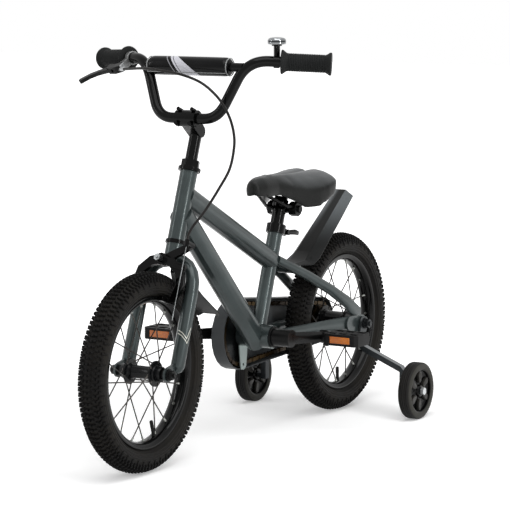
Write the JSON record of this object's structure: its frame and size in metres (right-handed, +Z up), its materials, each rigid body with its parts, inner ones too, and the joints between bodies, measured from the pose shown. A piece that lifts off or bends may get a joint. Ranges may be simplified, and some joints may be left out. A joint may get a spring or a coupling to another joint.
{
  "type": "kids bike with training wheels",
  "caption": "Small child's bicycle with chain guard, mudguards, padded crossbar, front rim brake, coaster hub and a pair of bolt-on training wheels.",
  "frame": {"origin": "on the ground, midway between the two wheel axles and on the middle plane of the frame", "axes": "+X forward, +Y to the rider's left, +Z up"},
  "size_m": [1.038, 0.5041, 0.7485],
  "materials": {
    "painted_frame": "satin metallic",
    "gloss_black_metal": "gloss",
    "satin_black_metal": "satin",
    "guard_plastic": "satin",
    "pedal_plastic": "matte",
    "tyre_rubber": "matte",
    "grip_rubber": "matte",
    "saddle_vinyl": "satin",
    "saddle_plastic": "matte",
    "pad_foam": "gloss",
    "zinc_steel": "satin",
    "dark_steel": "satin",
    "chain_steel": "satin",
    "bell_chrome": "gloss",
    "lever_silver": "satin",
    "wheel_alloy": "gloss",
    "cable_housing": "satin",
    "stabiliser_plastic": "gloss"
  },
  "bodies": {
    "frame": {"head_tube": "painted_frame", "top_tube": "painted_frame", "down_tube": "painted_frame", "seat_tube": "painted_frame", "bottom_bracket_shell": "painted_frame", "chainstay_left": "painted_frame", "chainstay_right": "painted_frame", "seatstay_left": "painted_frame", "seatstay_right": "painted_frame", "bottom_bracket_cartridge": "satin_black_metal", "chain_guard": "guard_plastic", "rear_mudguard": "guard_plastic", "seat_clamp": "gloss_black_metal", "headset_lower": "satin_black_metal", "headset_upper": "satin_black_metal", "rear_axle": "zinc_steel", "coaster_brake_arm": "dark_steel", "stabiliser_arm_left": "dark_steel", "stabiliser_arm_right": "dark_steel", "chain": "chain_steel"},
    "steering_assembly": {"fork": "painted_frame", "headset_locknut": "satin_black_metal", "front_axle": "zinc_steel", "front_mudguard": "guard_plastic", "stem": "gloss_black_metal", "stem_cap": "gloss_black_metal", "handlebar": "gloss_black_metal", "crossbar_pad": "pad_foam", "grip_left": "grip_rubber", "grip_right": "grip_rubber", "bell_base": "satin_black_metal", "bell_dome": "bell_chrome", "brake_lever_bracket": "lever_silver", "brake_cable": "cable_housing", "caliper_bolt": "zinc_steel"},
    "front_wheel": {"front_tyre": "tyre_rubber", "front_rim": "wheel_alloy", "front_hub_and_spokes": "dark_steel"},
    "rear_wheel": {"rear_tyre": "tyre_rubber", "rear_rim": "wheel_alloy", "rear_hub_and_spokes": "dark_steel"},
    "crankset": {"crank_left": "gloss_black_metal", "crank_right": "gloss_black_metal", "chainring": "satin_black_metal"},
    "pedal_left_body": {"pedal_left": "pedal_plastic"},
    "pedal_right_body": {"pedal_right": "pedal_plastic"},
    "rear_sprocket_body": {"rear_sprocket": "dark_steel"},
    "stabiliser_wheel_left_body": {"stabiliser_wheel_left": "stabiliser_plastic"},
    "stabiliser_wheel_right_body": {"stabiliser_wheel_right": "stabiliser_plastic"},
    "seat_post_body": {"seat_post": "gloss_black_metal"},
    "saddle": {"saddle_clamp": "satin_black_metal", "saddle_rails": "satin_black_metal", "saddle_base": "saddle_plastic", "saddle_cushion": "saddle_vinyl"},
    "seat_quick_release_body": {"seat_quick_release": "gloss_black_metal"},
    "brake_lever_body": {"brake_lever": "satin_black_metal"},
    "caliper_left_body": {"caliper_arm_left": "satin_black_metal", "brake_inner_wire": "zinc_steel"},
    "caliper_right_body": {"caliper_arm_right": "satin_black_metal"},
    "bell_striker_body": {"bell_striker": "satin_black_metal"}
  },
  "joints": [
    {"name": "steering", "type": "hinge", "parent": "frame", "child": "steering_assembly", "pos_m": [0.21696, 0, 0.44801], "axis": [-0.342, 0, 0.9397], "range_deg": [-60, 60]},
    {"name": "front_wheel_spin", "type": "hinge", "parent": "steering_assembly", "child": "front_wheel", "pos_m": [0.344, 0, 0.175], "axis": [0, 1, 0], "continuous": true},
    {"name": "rear_wheel_spin", "type": "hinge", "parent": "frame", "child": "rear_wheel", "pos_m": [-0.344, 0, 0.175], "axis": [0, 1, 0], "continuous": true},
    {"name": "crank_spin", "type": "hinge", "parent": "frame", "child": "crankset", "pos_m": [-0.04041, 0, 0.187], "axis": [0, 1, 0], "continuous": true, "deforming": ["chain"]},
    {"name": "rear_sprocket_spin", "type": "hinge", "parent": "frame", "child": "rear_sprocket_body", "pos_m": [-0.344, 0, 0.175], "axis": [0, 1, 0], "continuous": true},
    {"name": "pedal_left_spin", "type": "hinge", "parent": "crankset", "child": "pedal_left_body", "pos_m": [-0.14202, 0.13, 0.17811], "axis": [0, 1, 0], "continuous": true},
    {"name": "pedal_right_spin", "type": "hinge", "parent": "crankset", "child": "pedal_right_body", "pos_m": [0.06121, -0.13, 0.19589], "axis": [0, 1, 0], "continuous": true},
    {"name": "stabiliser_left_spin", "type": "hinge", "parent": "frame", "child": "stabiliser_wheel_left_body", "pos_m": [-0.3313, 0.183, 0.055], "axis": [0, 1, 0], "continuous": true},
    {"name": "stabiliser_right_spin", "type": "hinge", "parent": "frame", "child": "stabiliser_wheel_right_body", "pos_m": [-0.3313, -0.183, 0.055], "axis": [0, 1, 0], "continuous": true},
    {"name": "seat_height", "type": "slide", "parent": "frame", "child": "seat_post_body", "axis": [-0.3305, 0, 0.9438], "range_m": [-0.012, 0.035]},
    {"name": "saddle_tilt", "type": "hinge", "parent": "seat_post_body", "child": "saddle", "pos_m": [-0.13922, 0, 0.41622], "axis": [0, 1, 0], "range_deg": [-6, 6]},
    {"name": "seat_quick_release_lever", "type": "hinge", "parent": "frame", "child": "seat_quick_release_body", "pos_m": [-0.13091, 0, 0.37198], "axis": [0, 1, 0], "range_deg": [-90, 20]},
    {"name": "brake_lever_pull", "type": "hinge", "parent": "steering_assembly", "child": "brake_lever_body", "pos_m": [0.16131, -0.1842, 0.68546], "axis": [0.5128, -0.2822, 0.8108], "range_deg": [0, 18], "stiffness_Nm_per_rad": 0.4, "springref_deg": -5.73},
    {"name": "caliper_left_close", "type": "hinge", "parent": "steering_assembly", "child": "caliper_left_body", "pos_m": [0.27936, 0, 0.36431], "axis": [0.9397, 0, 0.342], "range_deg": [-1.7, 1.7]},
    {"name": "caliper_right_close", "type": "hinge", "parent": "steering_assembly", "child": "caliper_right_body", "pos_m": [0.27936, 0, 0.36431], "axis": [0.9397, 0, 0.342], "range_deg": [-1.7, 1.7]},
    {"name": "bell_striker_flick", "type": "hinge", "parent": "steering_assembly", "child": "bell_striker_body", "pos_m": [0.14163, 0.14912, 0.73022], "axis": [0, 0, 1], "range_deg": [-25, 25], "stiffness_Nm_per_rad": 0.01}
  ],
  "couplings": [
    {"joint": "rear_sprocket_spin", "follows": "crank_spin", "ratio": 1.75},
    {"joint": "caliper_left_close", "follows": "brake_lever_pull", "ratio": -0.09},
    {"joint": "caliper_right_close", "follows": "brake_lever_pull", "ratio": 0.09}
  ]
}
